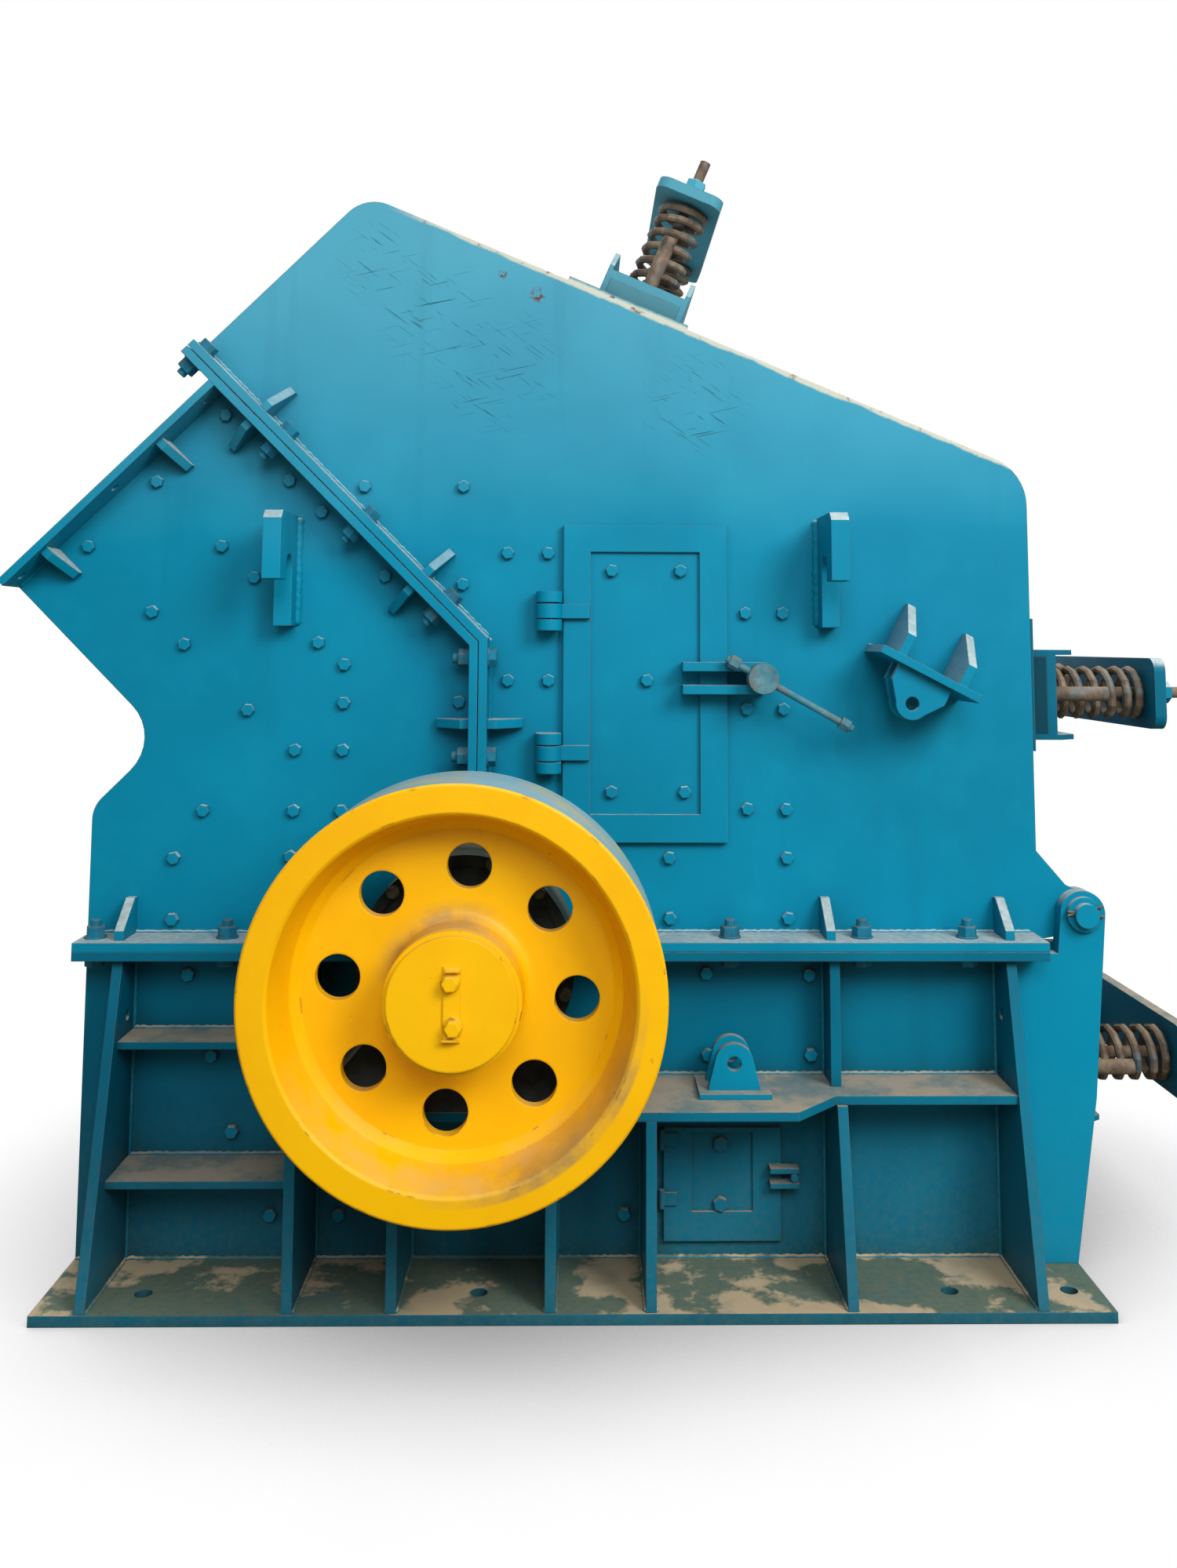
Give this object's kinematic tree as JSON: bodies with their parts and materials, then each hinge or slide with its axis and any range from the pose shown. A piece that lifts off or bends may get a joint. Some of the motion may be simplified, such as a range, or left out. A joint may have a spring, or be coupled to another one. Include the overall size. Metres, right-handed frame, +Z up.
{
  "type": "impact crusher",
  "caption": "Horizontal-shaft impact crusher in teal painted plate with a yellow belt pulley, sprung apron rods and a rear housing that swings open",
  "frame": {"origin": "centre of the base plate on the floor", "axes": "X runs from the feed mouth to the hinge end, Y from the pulley side to the far side, Z up"},
  "size_m": [3.13, 2.033, 2.8562],
  "materials": {
    "teal_paint": "worn gloss paint, dusty on top",
    "deep_teal_paint": "worn paint with dust and rust",
    "yellow_paint": "chipped gloss paint",
    "rusty_steel": "rusty and dull",
    "bare_steel": "dull, worn by rock",
    "cast_iron": "rough, dark, dusty on top"
  },
  "bodies": {
    "frame": {"base_plate": "deep_teal_paint", "lower_side_near": "deep_teal_paint", "lower_side_far": "deep_teal_paint", "lower_end_walls": "deep_teal_paint", "ribs_near": "deep_teal_paint", "ribs_far": "deep_teal_paint", "shelves_near": "deep_teal_paint", "shelves_far": "deep_teal_paint", "lower_flanges": "deep_teal_paint", "hinge_posts": "teal_paint", "cylinder_clevises": "teal_paint", "bearing_housings": "cast_iron", "front_side_near": "teal_paint", "front_side_far": "teal_paint", "chute_floor": "teal_paint", "feed_flanges": "teal_paint", "front_joint_flange": "teal_paint", "front_split_flanges": "teal_paint", "front_lugs": "teal_paint", "front_gussets": "teal_paint", "frame_spring_seats": "teal_paint", "frame_springs": "rusty_steel", "frame_tie_rods": "rusty_steel", "frame_apron": "bare_steel"},
    "rear_housing": {"rear_side_near": "teal_paint", "rear_side_far": "teal_paint", "front_slope": "teal_paint", "roof": "teal_paint", "rear_wall": "teal_paint", "rear_joint_flange": "teal_paint", "rear_split_flanges": "teal_paint", "rear_lugs": "teal_paint", "rear_gussets": "teal_paint", "cylinder_brackets": "teal_paint", "door_hinge_eyes": "teal_paint", "far_door": "teal_paint", "roof_spring_seats": "teal_paint", "roof_springs": "rusty_steel", "roof_tie_rods": "rusty_steel", "upper_apron": "bare_steel", "wall_spring_seats": "teal_paint", "wall_springs": "rusty_steel", "wall_tie_rods": "rusty_steel", "rear_apron": "bare_steel"},
    "rotor": {"rotor_shaft": "bare_steel", "rotor_drum": "bare_steel", "blow_bars": "bare_steel", "pulley": "yellow_paint", "pulley_cover": "yellow_paint"},
    "door": {"door_leaf": "teal_paint"},
    "door_handle": {"door_clamp": "deep_teal_paint"},
    "lower_leaf": {"lower_door": "deep_teal_paint"}
  },
  "joints": [
    {"name": "rotor_spin", "type": "hinge", "parent": "frame", "child": "rotor", "pos_m": [-0.254, 0, 0.766], "axis": [0, 1, 0], "continuous": true},
    {"name": "rear_housing_swing", "type": "hinge", "parent": "frame", "child": "rear_housing", "pos_m": [1.236, 0, 0.839], "axis": [0, 1, 0], "range_deg": [0, 50]},
    {"name": "door_swing", "type": "hinge", "parent": "rear_housing", "child": "door", "pos_m": [-0.074, -0.612, 1.4], "axis": [0, 0, -1], "range_deg": [0, 48]},
    {"name": "clamp_turn", "type": "hinge", "parent": "door", "child": "door_handle", "pos_m": [0.447, -0.68, 1.41], "axis": [0, 1, 0], "range_deg": [0, 200]},
    {"name": "lower_door_swing", "type": "hinge", "parent": "frame", "child": "lower_leaf", "pos_m": [0.204, -0.5825, 0.2], "axis": [0, 0, -1], "range_deg": [0, 80]}
  ]
}
